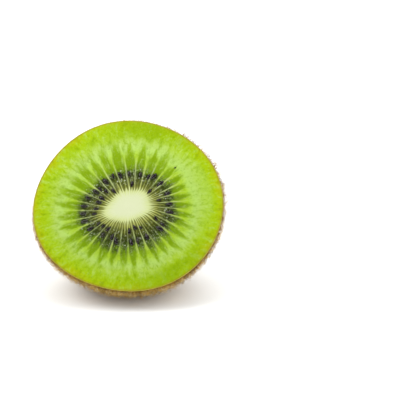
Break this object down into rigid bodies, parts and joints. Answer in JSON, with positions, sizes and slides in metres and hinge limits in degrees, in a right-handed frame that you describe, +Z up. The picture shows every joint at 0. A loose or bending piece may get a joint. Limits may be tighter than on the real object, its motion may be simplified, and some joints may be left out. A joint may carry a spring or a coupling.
{
  "type": "kiwi fruit half",
  "caption": "Half of a kiwi fruit, cut across: green flesh, ring of dark seeds and pale core in a fuzzy brown skin, resting on its side with the cut face leaning back.",
  "frame": {"origin": "on the floor, under the middle of the fruit's box", "axes": "+Z up, the cut face looks to -Y and 34 degrees upwards, +X to the right as seen from the cut face"},
  "size_m": [0.0532, 0.045, 0.0478],
  "materials": {
    "flesh": "moist translucent green fruit flesh",
    "seed_ring": "wet dark green flesh with pale rays between the seed chambers",
    "core": "moist pale cream-green pith",
    "seed": "smooth glossy near-black seed",
    "skin": "thin matt brown skin",
    "fuzz": "short golden brown hairs",
    "stalk_scar": "dry dark brown wood"
  },
  "bodies": {
    "root": {"flesh": "flesh", "seed_ring": "seed_ring", "core": "core", "stalk_scar": "stalk_scar"}
  },
  "joints": []
}
